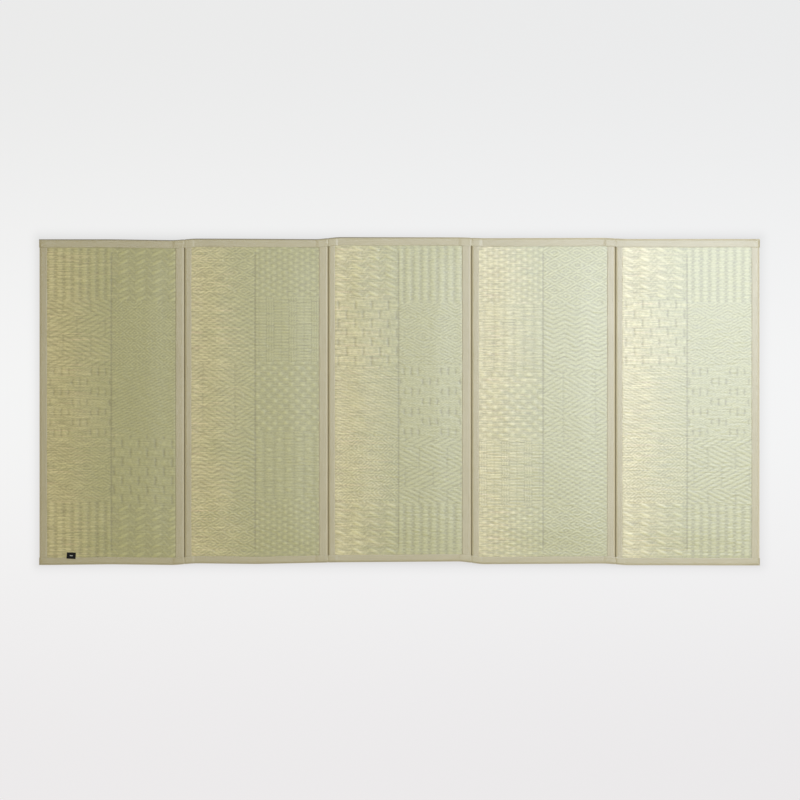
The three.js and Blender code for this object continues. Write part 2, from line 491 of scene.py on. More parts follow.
# Columns of five blocks from the far edge down: the weave, its depth in mm, and how far down the face its
# block ends, the last one running on to the near edge
toNearEdge = 999
plaitsLeft = [
    (waves, 0.68, 146),
    (tortoise, 0.52, 353),
    (smallTwill, 0.45, 548),
    (rosettes, 0.4, 744),
    (waves, 0.55, toNearEdge),
]
plaitsRight = [
    (ribs, 0.42, 160),
    (fineFence, 0.55, 341),
    (roundels, 0.6, 554),
    (cypressFence, 0.43, 749),
    (ribs, 0.42, toNearEdge),
]
keysLeft = [
    (smallBumps, 0.48, 165),
    (bricksAndBumps, 0.5, 363),
    (bigBumps, 0.52, 567),
    (keyFret, 0.45, 757),
    (smallBumps, 0.48, toNearEdge),
]
keysRight = [
    (fineDiamonds, 0.5, 165),
    (chevrons, 0.46, 363),
    (bigDiagonals, 0.28, 567),
    (scales, 0.34, 757),
    (fineDiamonds, 0.35, toNearEdge),
]
plaitsBackLeft = [
    (wavesBack, 0.68, 146),
    (tortoise, 0.52, 353),
    (twillBack, 0.55, 548),
    (rosettesBack, 0.4, 744),
    (wavesBack, 0.68, toNearEdge),
]
layouts = {
    "plaits": (plaitsLeft, plaitsRight),
    "plaitsBack": (plaitsBackLeft, plaitsRight),
    "keys": (keysLeft, keysRight),
}
# For each panel its layout, -1 where that is turned half round, and how many mm further down its blocks end
panelWeaves = [("plaitsBack", -1, 3), ("keys", -1, 0), ("plaits", 1, 7), ("keys", 1, 0), ("plaits", 1, 0)]


def slowNoise(x, y, seed):
    # a few long waves in fixed directions
    count, shortest, longest = 6, 0.06, 0.4
    random = np.random.default_rng(seed)
    total = np.zeros_like(x)
    for wave in range(count):
        angle = random.uniform(0, np.pi)
        length = random.uniform(shortest, longest)
        phase = random.uniform(0, 2 * np.pi)
        total += np.sin(2 * np.pi * (x * np.cos(angle) + y * np.sin(angle)) / length + phase)
    return total / count


perMetre = 1000  # the weaves and their strands are worked out in mm
weaving = {
    "depth": 0.85,
    "evenShare": 0.9,
    "driftShare": 0.25,
    "driftSeed": 40,
    "toneSpread": 0.25,
    "seamShare": 0.55,  # the relief that is left on the seam between two blocks
    "pastSeam": 0.45,
    "seamOver": (0.5, 4.0),
}
strand = {
    "pitch": 3.0,
    "slide": 0.9,
    "slideMost": 1.5,
    "rise": 0.09,
    "floatLong": 17.0,
    "unevenness": 0.12,
    "ownMost": 2,
    "count": 400,  # more strands, and more floats on each, than a face takes
    "floats": 40,
    "before": 20,
    "floatsBefore": 6,
    "seed": 60,
}


def strandTables(seed):
    # for each strand how far it slides along, and for each of its floats how high it lies
    random = np.random.default_rng(seed)
    slides = random.normal(0, 1, strand["count"])
    return slides, random.normal(0, 1, (strand["count"], strand["floats"]))


def weaveHeight(number, x, y, width, depth):
    # the weave's height over the face, in metres, and its tone, a painted shade that is darker in its hollows
    # and lighter on its raised parts, 0.5 on average in each block
    layoutName, way, lowered = panelWeaves[number]
    wide, long = width * perMetre, depth * perMetre
    u, v = way * x * perMetre + wide / 2, way * y * perMetre
    down = long / 2 - v
    slides, floats = strandTables(strand["seed"] + number)
    index = (down / strand["pitch"]).astype(int) + strand["before"]
    index = np.clip(index, 0, strand["count"] - 1)
    floatAt = (u / strand["floatLong"] + slides[index]).astype(int) + strand["floatsBefore"]
    floatAt = np.clip(floatAt, 0, strand["floats"] - 1)
    own = np.clip(floats[index, floatAt], -strand["ownMost"], strand["ownMost"])
    u = u + strand["slide"] * np.clip(slides[index], -strand["slideMost"], strand["slideMost"])
    share = np.zeros_like(x)
    relief = np.zeros_like(x)
    tone = np.full_like(x, 0.5)
    for column, blocks in enumerate(layouts[layoutName]):
        inColumn = (way * x < 0) if column == 0 else (way * x >= 0)
        start = -lowered
        for weave, deep, end in blocks:
            chosen = inColumn & (down >= start + lowered) & (down < end + lowered)
            fromSide = u[chosen] - column * wide / 2
            fromTop = down[chosen] - start - lowered
            share[chosen] = np.clip(weave(fromSide, fromTop), 0, 1)
            centred = share[chosen] - share[chosen].mean()
            spread = share[chosen].std() + weaving["toneSpread"]
            tone[chosen] += weaving["toneSpread"] * centred / spread
            offSeam = smooth(np.abs(fromTop), *weaving["seamOver"])
            relief[chosen] = deep * (weaving["seamShare"] + weaving["pastSeam"] * offSeam)
            start = end
    drift = slowNoise(x, y, weaving["driftSeed"] + number)
    relief *= weaving["depth"] * (weaving["evenShare"] + weaving["driftShare"] * drift)
    height = share * relief * (1 + strand["unevenness"] * own) + strand["rise"] * own
    return height / perMetre, tone


face = {
    "acrossPoints": 160,
    "alongPoints": 470,
    "under": 0.005,  # the woven face runs this far in under the tapes
    "zipper": 0.003,  # the strip between the woven face and the pad's coarser part
    "crown": 0.0016,
    "crownOver": (0.028, 0.110),  # where it rises, in metres in from the pad's edge
    "grooveDeep": 0.0001,
    "grooveHalf": 0.0022,
    "grooveShade": 0.8,
    "grooveOver": (0.004, 0.03),
    "clearOver": (-0.0005, 0.004),
    "slack": 0.0003,
    "slackOver": (0.01, 0.08),
    "slackSeed": 7,
}
pad = {"topSegments": 6, "footSegments": 3, "soleOver": (0.022, 0.028), "cuts": 6, "cutsFrom": 0.06}


panelNames = [f"rush_panel_{number + 1}" for number in range(len(slips))]


def faceSpan(number):
    # where the rush shows between its two tapes
    left, right = panelEnds[0] - layer + mat["leftTape"], padEnd + layer - mat["rightTape"]
    if number > 0:
        left = folds[number - 1]["x"] + folds[number - 1]["right"]
    if number < len(folds):
        right = folds[number]["x"] - folds[number]["left"]
    return left, right


def bisectAt(axis, place):
    normal, spot = [0, 0, 0], [0, 0, 0]
    normal[axis], spot[axis] = 1, place
    bpy.ops.mesh.select_all(action="SELECT")
    bpy.ops.mesh.bisect(plane_co=spot, plane_no=normal)


def selectEdges(piece, wanted):
    # in edit mode: selects the edges whose both ends pass the test
    toObject()
    points = piece.data.vertices
    for part in (*piece.data.polygons, *points):
        part.select = False
    for edge in piece.data.edges:
        edge.select = all(wanted(points[i].co) for i in edge.vertices)
    toEdit()


def makePadBody(number, hole):
    # a cube with rolled edges, cut open where the woven face goes
    left, right = panelEnds[2 * number], panelEnds[2 * number + 1]
    deep = halfWidth - layer
    height = mat["padTop"] - layer
    deselectAll()
    bpy.ops.mesh.primitive_cube_add(
        size=1,
        location=((left + right) / 2, 0, layer + height / 2),
        scale=(right - left, 2 * deep, height),
    )
    body = bpy.context.object
    placeInMesh(body)
    toEdit()
    bpy.ops.mesh.select_mode(type="EDGE")
    selectEdges(body, lambda p: p.z > mat["padTop"] - hair)
    bpy.ops.mesh.bevel(offset=mat["topRoll"], segments=pad["topSegments"])
    selectEdges(body, lambda p: p.z < layer + hair)
    bpy.ops.mesh.bevel(offset=mat["footRoll"], segments=pad["footSegments"])
    acrossCuts = [hole[0], hole[1]]
    alongCuts = [hole[2], hole[3]]
    for inset in pad["soleOver"]:
        acrossCuts += [left + inset, right - inset]
        alongCuts += [inset - deep, deep - inset]
    acrossCuts += list(np.linspace(left + pad["cutsFrom"], right - pad["cutsFrom"], pad["cuts"]))
    for place in acrossCuts:
        bisectAt(0, place)
    for place in alongCuts:
        bisectAt(1, place)
    bpy.ops.mesh.select_mode(type="FACE")
    toObject()
    for polygon in body.data.polygons:
        c = polygon.center
        onTop = c.z > mat["padTop"] - hair
        polygon.select = hole[0] < c.x < hole[1] and hole[2] < c.y < hole[3] and onTop
    toEdit()
    bpy.ops.mesh.delete(type="FACE")
    toObject()
    points = readPoints(body)
    fromEnds = np.minimum(points[:, 0] - left, right - points[:, 0])
    fromEdge = np.minimum(fromEnds, deep - np.abs(points[:, 1]))
    sole = points[:, 2] < layer + hair
    points[sole, 2] = layer * (1 - smooth(fromEdge[sole], *pad["soleOver"]))
    writePoints(body, points)
    return body


def makePanel(number):
    left, right = faceSpan(number)
    near, far = -halfWidth + mat["nearTape"], halfWidth - mat["farTape"]
    under, strip = face["under"], face["zipper"]
    hole = (left - under - strip, right + under + strip, near - under - strip, far + under + strip)
    body = makePadBody(number, hole)

    woven, column, row = gridSheet("rush", face["acrossPoints"], face["alongPoints"])
    x = np.linspace(left - under, right + under, face["acrossPoints"])[column]
    y = np.linspace(near - under, far + under, face["alongPoints"])[row]
    middleX, middleY = (left + right) / 2, (near + far) / 2
    height, tone = weaveHeight(number, x - middleX, y - middleY, right - left, far - near)
    inside = np.minimum(np.minimum(x - left, right - x), np.minimum(y - near, far - y))
    clear = smooth(inside, *face["clearOver"])
    endSide = np.minimum(x - panelEnds[2 * number], panelEnds[2 * number + 1] - x)
    longSide = halfWidth - layer - np.abs(y)
    swell = smooth(endSide, *face["crownOver"]) * smooth(longSide, *face["crownOver"])
    groove = bell(x - middleX, face["grooveHalf"]) * smooth(inside, *face["grooveOver"])
    slack = face["slack"] * slowNoise(x, y, face["slackSeed"]) * smooth(inside, *face["slackOver"])
    z = mat["padTop"] + face["crown"] * swell - face["grooveDeep"] * groove + slack + height * clear
    writePoints(woven, np.stack([x, y, z], axis=1))
    faceOut(woven, np.array([0, 0, 1.0]))
    # painted shade: the weave's tone, darker still along the groove down the middle of the face
    paintPoints(woven, "weave", tone * (1 - face["grooveShade"] * groove))
    paintPoints(woven, "along", (x - left) / (right - left))
    woven.data.materials.append(finishes["rush"])
    body.data.materials.append(finishes["backing"])

    pick(woven)
    body.select_set(True)
    bpy.ops.object.join()
    panel = bpy.context.object
    rename(panel, panelNames[number])
    toEdit()
    bpy.ops.mesh.select_mode(type="EDGE")
    bpy.ops.mesh.select_all(action="DESELECT")
    bpy.ops.mesh.select_non_manifold(
        extend=False, use_wire=False, use_multi_face=False, use_non_contiguous=False, use_verts=False
    )
    bpy.ops.mesh.fill(use_beauty=False)
    toObject()
    writePoints(panel, settle(readPoints(panel)))
    smoothShade(panel, 50)
    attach(panel, "root")
    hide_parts(f"panel_{number + 1}")


# Where the tapes have points: distances in metres, and counts of steps
tapes = {
    "edgeSteps": (0.0, 0.0008, 0.0022, 0.0045),
    "flatSteps": 3,
    "rollSteps": 8,
    "footSteps": 4,
    "slotHeights": (0.009, 0.004),
    "underSteps": (0.009, 0.015),
    "lastStep": 0.001,
    "alongPoints": 90,
    "stray": 0.0004,
    "edgeShares": (0.35, 0.8, 1.0),  # of the cloth's thickness, at a free edge and in from it
}
# How much painted light, a paler colour, each tape has on its rolled edges
rollLightShare = {"fold": 0.4, "left": 0.3, "right": 0.85, "far": 0.85, "nearShare": 0.7}


def strays(along, fast, slow, fastTurn=0, slowTurn=0):
    # how far a free edge lies from straight: two waves along it
    return tapes["stray"] * (1 + np.sin(along * fast + fastTurn) * np.sin(along * slow + slowTurn))


def onRolledEdge(out):
    return smooth(-out, 0.2, 0.8)


def station(back, height, out, up):
    # a point on a tape's section, with the direction in which the tape faces there
    return {"from": back, "height": height, "out": out, "up": up}


def overUpperEdge(width):
    # stations from the tape's free edge on the face, over the roll, to the top of the side
    flat = [width - layer - step for step in tapes["edgeSteps"]]
    flat += list(np.linspace(flat[-1], mat["topRoll"], tapes["flatSteps"] + 1)[1:-1])
    stations = [station(place, mat["padTop"], 0.0, 1.0) for place in flat]
    for angle in np.linspace(0, math.pi / 2, tapes["rollSteps"] + 1):
        out, up = -math.sin(angle), math.cos(angle)
        stations.append(station(mat["topRoll"] * (1 + out), topCentre + mat["topRoll"] * up, out, up))
    return stations


def roundLowerEdge():
    # stations from the foot of the side, round the lower roll, to the tape's edge underneath
    stations = []
    for angle in np.linspace(0, math.pi / 2, tapes["footSteps"] + 1):
        out, up = -math.cos(angle), -math.sin(angle)
        stations.append(station(mat["footRoll"] * (1 + out), footCentre + mat["footRoll"] * up, out, up))
    for place in (*tapes["underSteps"], mat["underLeg"] - tapes["lastStep"], mat["underLeg"]):
        stations.append(station(place, layer, 0.0, -1.0))
    return stations


def columnsOf(stations):
    return {key: np.array([row[key] for row in stations], dtype=float) for key in stations[0]}


def flatLengths(first, second):
    # the distance along a path of points, from its start
    steps = np.hypot(np.diff(first), np.diff(second))
    return np.concatenate([[0], np.cumsum(steps)])


def thicken(piece, edgeShare):
    # gives the sheet its thickness outwards, thinner at its folded free edges
    group = piece.vertex_groups.new(name="thickness")
    for index, value in enumerate(edgeShare):
        group.add([index], float(value), "REPLACE")
    solid = piece.modifiers.new("Thickness", "SOLIDIFY")
    solid.thickness = mat["tapeThick"]
    solid.offset = 1.0
    solid.use_even_offset = True
    solid.vertex_group = "thickness"
    solid.thickness_vertex_group = 0.0
    applyModifiers(piece)
    piece.vertex_groups.clear()


def dress(piece, finish, angle):
    smoothShade(piece, angle)
    piece.data.materials.append(finishes[finish])
    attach(piece, "root")


def layCloth(piece, column, points, lengths, along, outward, paints):
    # puts a tape's sheet in place with its flat coordinates and its paints, and gives it its thickness
    writePoints(piece, np.stack(points, axis=1))
    layUv(piece, lengths[column], along)
    faceOut(piece, np.stack(outward, axis=1))
    for name, values in paints.items():
        paintPoints(piece, name, values)
    thicken(piece, edgeThinning(len(lengths))[column])


def finishTape(piece, node):
    writePoints(piece, settle(readPoints(piece)))
    dress(piece, "tape", 45)
    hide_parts(node)


def edgeThinning(count):
    share = np.ones(count)
    share[:3] = tapes["edgeShares"]
    share[-3:] = tapes["edgeShares"][::-1]
    return share


stitch = {
    "pitch": 0.0042,
    "length": 0.0030,
    "width": 0.0007,
    "thick": 0.0002,
    "rise": 0.00035,
    "topShare": 0.6,
    "endShare": 0.7,
    "inFrom": 0.0026,
}


def makeStitches(name, length):
    # a straight row of stitches along X from 0, each one a low hump, to be laid along a tape
    deselectAll()
    bpy.ops.mesh.primitive_cube_add(
        size=1,
        location=(stitch["length"] / 2, 0, 0),
        scale=(stitch["length"], stitch["width"], stitch["thick"]),
    )
    row = bpy.context.object
    rename(row, name)
    placeInMesh(row)
    toEdit()
    bisectAt(0, stitch["length"] / 2)
    toObject()
    points = readPoints(row)
    middle = np.abs(points[:, 0] - stitch["length"] / 2) < hair
    raised = middle & (points[:, 2] > 0)
    points[raised, 2] = stitch["rise"]
    points[raised, 1] *= stitch["topShare"]
    points[~middle, 1] *= stitch["endShare"]
    writePoints(row, points)
    array = row.modifiers.new("Row", "ARRAY")
    array.fit_type = "FIXED_COUNT"
    array.count = int(length / stitch["pitch"])
    array.use_relative_offset = False
    array.use_constant_offset = True
    array.constant_offset_displace = (stitch["pitch"], 0, 0)
    applyModifiers(row)
    return row


def finishStitches(row):
    writePoints(row, settle(readPoints(row)))
    dress(row, "thread", 60)


def sewAcross(name, place):
    # a row of stitches along Y at place, on the tape's flat top
    row = makeStitches(name, 2 * tapeReach)
    points = readPoints(row)
    across, along = place - points[:, 1], points[:, 0] - tapeReach
    writePoints(row, np.stack([across, along, points[:, 2] + mat["padTop"] + layer], axis=1))
    finishStitches(row)
    return row


def makeFoldTape(number):
    fold = folds[number]
    left = overUpperEdge(fold["left"] + layer - foldHalf)
    right = overUpperEdge(fold["right"] + layer - foldHalf)
    sideDown = [station(0.0, height, -1.0, 0.0) for height in tapes["slotHeights"]]
    bottom = station(0.0, mat["tapeThick"], -1.0, 1.0)
    stations = [{**s, "side": -1.0} for s in [*left, *sideDown, bottom]]
    stations += [{**s, "side": 1.0} for s in [bottom, *reversed(sideDown), *reversed(right)]]
    s = columnsOf(stations)
    run = np.linspace(-tapeReach, tapeReach, tapes["alongPoints"])
    tape, column, row = gridSheet(f"fold_tape_{number + 1}_cloth", len(stations), len(run))
    across = s["side"] * (foldHalf + s["from"] + s["out"] * gap)
    height = s["height"] + s["up"] * gap
    x, y, z = fold["x"] + across[column], run[row], height[column]
    freeEdge = (column == 0) | (column == len(stations) - 1)
    inwards = np.where(column < len(stations) / 2, 1, -1)
    x += inwards * freeEdge * strays(y, fast=61, slow=23, fastTurn=number)
    lengths = flatLengths(across, height)
    outward = ((s["side"] * s["out"])[column], 0 * y, np.maximum(s["up"][column], 0))
    # painted light on the tape's rolled edges
    paintedRollLight = rollLightShare["fold"] * onRolledEdge(s["out"][column])
    layCloth(tape, column, (x, y, z), lengths, y, outward, {"paintedRollLight": paintedRollLight})
    for side, way in (("left", -1), ("right", 1)):
        place = fold["x"] + way * (fold[side] - stitch["inFrom"])
        sewAcross(f"fold_tape_{number + 1}_seam_{side}", place)
    finishTape(tape, f"fold_tape_{number + 1}")


def makeEndTape(node, side, width):
    name = f"{node}_cloth"
    stations = [*overUpperEdge(width), *roundLowerEdge()]
    s = columnsOf(stations)
    tape, column, row = gridSheet(name, len(stations), tapes["alongPoints"])
    stop = np.where(s["height"] < topCentre - hair, pad["soleOver"][0], mat["tuck"])
    reach = halfWidth - layer - stop[column]
    y = reach * np.linspace(-1, 1, tapes["alongPoints"])[row]
    up, out = s["up"][column], s["out"][column]
    x = side * (padEnd - s["from"][column] - out * gap)
    z = s["height"][column] + up * gap
    x += side * (column == 0) * strays(y, fast=57, slow=21, slowTurn=1)
    lengths = flatLengths(s["from"] + s["out"] * gap, s["height"] + s["up"] * gap)
    outward = (-side * out, 0 * y, up)
    # painted light on the tape's rolled edge
    paintedRollLight = (rollLightShare["right"] if side > 0 else rollLightShare["left"]) * onRolledEdge(out)
    layCloth(tape, column, (x, y, z), lengths, y, outward, {"paintedRollLight": paintedRollLight})
    seam = sewAcross(f"{name}_seam", side * (mat["length"] / 2 - width + stitch["inFrom"]))
    finishTape(tape, node)


lift = {"clear": 0.0015, "ramp": 0.008}


def liftAt(x):
    # 1 where a long binding passes over another tape, and 0 away from them
    high = np.zeros_like(x)
    pastTapes = [x + padEnd - mat["leftTape"], padEnd - mat["rightTape"] - x]
    for fold in folds:
        pastTapes.append(np.maximum(fold["x"] - fold["left"] - x, x - fold["x"] - fold["right"]))
    for past in pastTapes:
        high = np.maximum(high, 1 - smooth(past, lift["clear"], lift["clear"] + lift["ramp"]))
    return high


def rollHeight(inwards, across, up):
    # how far an elliptical roll has risen, that much in from the mat's end
    share = 1 - np.clip(inwards / across, 0, 1)
    return up * np.sqrt(1 - share * share)


edging = {
    "evenPoints": 200,
    "foldPoints": (-0.040, 0.034, 26),  # from, to and how many, round each fold
    "creasePoints": (-0.006, 0.006, 9),
    "endSteps": 8,
    "liftFade": 5.0,  # in stations, down over the roll
    "shut": 0.03,
    "dip": 0.0011,
    "dipHalf": 0.0022,
    "dipTo": 0.018,
    "pinch": 0.0009,
    "endLegs": 0.03,  # what its two ends add to its flat length
}


def makeBinding(node, way, width):
    name = f"{node}_cloth"
    stations = overUpperEdge(width)
    flatCount = len(stations) - tapes["rollSteps"] - 1
    for index, s in enumerate(stations):
        s["lift"] = float(1 - smooth(index - flatCount, 0, edging["liftFade"]))
    stations += [{**s, "lift": 0.0} for s in roundLowerEdge()]
    s = columnsOf(stations)
    straight = padEnd - mat["topRoll"]
    run = [np.linspace(-straight, straight, edging["evenPoints"])]
    for fold in folds:
        run += [fold["x"] + np.linspace(*edging[span]) for span in ("foldPoints", "creasePoints")]
    inner = np.unique(np.round(np.concatenate(run), 4))
    angles = np.linspace(0, math.pi / 2, edging["endSteps"] + 1)[1:]
    endCount = len(angles) + 1
    total = len(inner) + 2 * endCount
    binding, column, row = gridSheet(name, len(stations), total)
    overEnd = gap + layer
    endX = straight + (mat["topRoll"] + overEnd) * np.sin(angles)
    endX = np.append(endX, endX[-1])
    allX = np.concatenate([-endX[::-1], inner, endX])
    x = allX[row]
    up, out = s["up"][column], s["out"][column]
    off = gap + layer * s["lift"][column] * liftAt(x)
    inwards = padEnd + overEnd - np.abs(x)
    highest = topCentre + rollHeight(inwards, mat["topRoll"] + overEnd, mat["topRoll"] + overEnd)
    lowest = footCentre - rollHeight(inwards, mat["footRoll"] + overEnd, mat["footRoll"] + gap)
    z = np.clip(s["height"][column] + up * off, lowest, highest)
    middle = (topCentre + footCentre) / 2
    closing = (row == 0) | (row == total - 1)
    z = np.where(closing, middle + (z - middle) * edging["shut"], z)
    fromEdge = s["from"][column] + out * off
    fromEdge -= (column == 0) * strays(x, fast=53, slow=19, slowTurn=way)
    y = way * (halfWidth - layer - fromEdge)
    # the cloth dips a little into each fold and pinches in its edge there
    for fold in folds:
        dip = bell(x - fold["x"], edging["dipHalf"])
        z -= edging["dip"] * dip * np.maximum(up, 0) * (fromEdge < edging["dipTo"])
        y -= way * edging["pinch"] * dip * np.maximum(-out, 0)
    lengths = flatLengths(s["from"] + s["out"] * gap, s["height"] + s["up"] * gap)
    # painted shade: the far side's rolled edge, but not the side under it, is darker towards the left end
    onRoll = smooth(-out, 0.3, 0.8) * (1 - smooth(-out, 0.95, 0.995))
    farEdgeShade = onRoll * (1 - smooth(x, -0.3, 0.5)) * (way > 0)
    # painted light: the rolled edges are paler towards the right end, less so on the near side
    paintedRollLight = rollLightShare["far"] * onRolledEdge(out) * smooth(x, -0.3, 0.9) * (1 if way > 0 else rollLightShare["nearShare"])
    outward = (0 * x, -way * out, up)
    layCloth(binding, column, (x, y, z), lengths, x, outward, {"farEdgeShade": farEdgeShade, "paintedRollLight": paintedRollLight})
    seam = makeStitches(f"{name}_seam", 2 * straight)
    points = readPoints(seam)
    sx = points[:, 0] - straight
    sy = way * (halfWidth - width + stitch["inFrom"]) + points[:, 1]
    sz = points[:, 2] + mat["padTop"] + layer + layer * liftAt(sx)
    writePoints(seam, np.stack([sx, sy, sz], axis=1))
    finishStitches(seam)
    finishTape(binding, node)


label = {
    "x": -0.957,
    "y": -0.4485,
    "length": 0.026,
    "width": 0.018,
    "thick": 0.0005,
    "turn": -3,
    "above": 0.0010,
    "stepOver": (0.0004, 0.0034),
    "crumple": 0.00025,
    "crumpleLow": -0.0002,
    "border": 0.0014,
    "bar": (0.0042, 0.0011),  # half its length and half its width
    "threads": 9000,
}


def makeLabel():
    across, along = 27, 25
    cloth, column, row = gridSheet("label_cloth", across, along)
    u = label["length"] * (column / (across - 1) - 0.5)
    v = label["width"] * (row / (along - 1) - 0.5)
    turn = math.radians(label["turn"])
    x = label["x"] + u * math.cos(turn) - v * math.sin(turn)
    y = label["y"] + u * math.sin(turn) + v * math.cos(turn)
    beyond = y + slipAt("near", x) - mat["nearTape"]
    step = layer * (1 - smooth(beyond, *label["stepOver"]))
    crumple = label["crumple"] * np.sin(u * 420 + 1) * np.sin(v * 300)
    z = mat["padTop"] + label["above"] + step + np.maximum(crumple, label["crumpleLow"])
    writePoints(cloth, np.stack([x, y + middleShift, z], axis=1))
    layUv(cloth, u, v)
    faceOut(cloth, np.array([0, 0, 1.0]))
    solid = cloth.modifiers.new("Thickness", "SOLIDIFY")
    solid.thickness = label["thick"]
    solid.offset = 1.0
    applyModifiers(cloth)
    dress(cloth, "label", 45)
    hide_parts("label")


def rushFinish():
    finish = Finish("Woven rush")
    place = finish.objectPlace()
    weave = finish.attribute("weave")
    along = finish.attribute("along")
    warp = (finish.parts(place, 0) * (1000 / warpPitch)).floor()
    dashPlace = finish.joined(warp * 3.7, finish.parts(place, 1) * 250, 0.0)
    dashes = finish.noise(dashPlace, scale=1.0)
    strands = finish.noise(place, scale=1.0, detail=3.0, stretch=(20, 270, 1)) * 0.6 + dashes * 0.4
    grain = finish.noise(place, scale=1.0, detail=1.0, stretch=(170, 320, 1))
    streaks = finish.noise(place, scale=1.0, stretch=(4.5, 120, 1))
    patches = finish.noise(place, scale=9.0)
    greening = (along + (streaks - 0.5) * 0.7 + (patches - 0.5) * 0.3).over(edge=0.22, soft=0.36)
    colour = finish.blend(greening, rush["tan"], rush["green"])
    yellowing = 1.1 - along.over(edge=0.3, soft=0.35)
    colour = finish.blend(strands.over(edge=0.57, soft=0.12) * yellowing * 0.45, colour, rush["straw"])
    rosy = finish.noise(place, scale=1.0, stretch=(9, 230, 5)).over(edge=0.64, soft=0.08) * yellowing
    colour = finish.blend(rosy * 0.5, colour, rush["rosy"])
    # light mixes random strand and grain tone with painted shade and highlight: the weave attribute darkens
    # the weave's hollows and the groove down the middle, and lightens its raised parts
    light = 0.5 + (strands - 0.5) * rush["strandTone"] * (0.5 + 0.9 * yellowing)
    light = light + (grain - 0.5) * rush["grain"] + (weave - 0.5) * rush["weaveShade"]
    colour = finish.blend(1 - light, colour, rush["shade"], "MULTIPLY")
    lines = (finish.parts(place, 1) * (2 * math.pi / rush["strandPitch"])).wave()
    height = lines * 0.5 + strands * 1.4
    normal = finish.bump(height, rush["strandBump"], strength=0.5)
    finish.surface(Base_Color=colour, Roughness=0.51 + 0.16 * strands, Normal=normal)
    finish.surface(IOR=rush["ior"], Specular_IOR_Level=rush["gloss"])
    finish.surface(Coat_Weight=light.over(edge=0.38, soft=1.0), Coat_Roughness=0.55, Coat_IOR=2.05)
    return finish.material


def clothFinish(name, look):
    finish = Finish(name)
    flat = finish.node("ShaderNodeUVMap", {"uv_map": "flat"})
    place = finish.objectPlace()
    across = finish.parts(flat, 0)
    alongTape = finish.parts(flat, 1)
    turns = 2 * math.pi / look["pitch"]
    threads = (across * turns).wave() * (alongTape * turns).wave()
    cords = finish.noise(flat, scale=1.0, stretch=(look["cords"], 6, 1))
    blotch = finish.noise(place, scale=14.0, detail=3.0)
    shade = cords * 0.6 + blotch * 0.4
    colour = finish.blend(shade.over(edge=0.5, soft=0.22), look["dark"], look["light"])
    colour = finish.blend((threads * 0.5 + 0.5) * 0.12, colour, look["thread"])
    # painted shade on the far rolled edge
    colour = finish.blend(finish.attribute("farEdgeShade"), colour, look["farEdgeShade"])
    # painted light on the rolled edges
    colour = finish.blend(finish.attribute("paintedRollLight"), colour, look["paintedRollLight"])
    finish.surface(
        Base_Color=colour,
        Roughness=look["rough"] + 0.1 * shade,
        Normal=finish.bump(threads * 0.6 + cords * 1.6, distance=0.0003, strength=0.6),
    )
    finish.surface(IOR=look["ior"], Specular_IOR_Level=look["gloss"])
    finish.surface(Coat_Weight=look["coat"], Coat_Roughness=0.4, Coat_IOR=1.7)
    return finish.material


def plainFinish(name, look):
    finish = Finish(name)
    place = finish.objectPlace()
    fibres = finish.noise(place, look["scale"], detail=4.0, roughness=0.6)
    blotch = finish.noise(place, scale=11.0, detail=3.0)
    shade = (fibres * 0.6 + blotch * 0.4).over(edge=0.5, soft=0.25)
    colour = finish.blend(shade, look["dark"], look["light"])
    normal = finish.bump(fibres, distance=0.0002, strength=0.5)
    finish.surface(Base_Color=colour, Roughness=0.8 + 0.1 * fibres, Normal=normal, Specular_IOR_Level=0.3)
    return finish.material


def labelFinish():
    finish = Finish("Black woven label")
    flat = finish.node("ShaderNodeUVMap", {"uv_map": "flat"})
    u, v = finish.parts(flat, 0), finish.parts(flat, 1)
    threads = (u * label["threads"]).wave() * (v * label["threads"]).wave()
    pastEnds = u.size().over(edge=label["length"] / 2 - label["border"], soft=0.0004)
    pastSides = v.size().over(edge=label["width"] / 2 - label["border"], soft=0.0004)
    border = (pastEnds + pastSides).over(edge=0.5, soft=0.4)
    colour = finish.blend(threads * 0.5 + 0.5, (0.002, 0.002, 0.003, 1), (0.006, 0.006, 0.008, 1))
    colour = finish.blend(border * 0.5, colour, (0.012, 0.012, 0.014, 1))
    halfLong, halfWide = label["bar"]
    bar = (1 - u.size().over(halfLong, soft=0.0003)) * (1 - v.size().over(halfWide, soft=0.0003))
    colour = finish.blend(bar * 0.8, colour, (0.62, 0.62, 0.6, 1))
    normal = finish.bump(threads, distance=0.0002, strength=0.6)
    finish.surface(Base_Color=colour, Roughness=0.6 + 0.1 * threads, Normal=normal, Specular_IOR_Level=0.2)
    return finish.material


rush = {
    "tan": (0.525, 0.432, 0.125, 1),
    "green": (0.328, 0.297, 0.018, 1),
    "straw": (0.65, 0.55, 0.18, 1),
    "rosy": (0.62, 0.42, 0.17, 1),
    "shade": (0.48, 0.45, 0.26, 1),
    "strandTone": 1.9,
    "grain": 0.9,
    "weaveShade": 1.25,
    "ior": 1.9,
    "gloss": 1.0,
    "strandPitch": 0.0019,
    "strandBump": 0.0002,
}
tapeLook = {
    "dark": (0.347, 0.286, 0.14, 1),
    "light": (0.40, 0.336, 0.174, 1),
    "thread": (0.26, 0.22, 0.12, 1),
    # the colour of the painted shade on the far rolled edge
    "farEdgeShade": (0.11, 0.09, 0.052, 1),
    # the colour of the painted light on the rolled edges
    "paintedRollLight": (0.64, 0.56, 0.37, 1),
    "pitch": 0.0009,
    "cords": 420,
    "rough": 0.42,
    "ior": 1.7,
    "gloss": 1.0,
    "coat": 0.4,
}
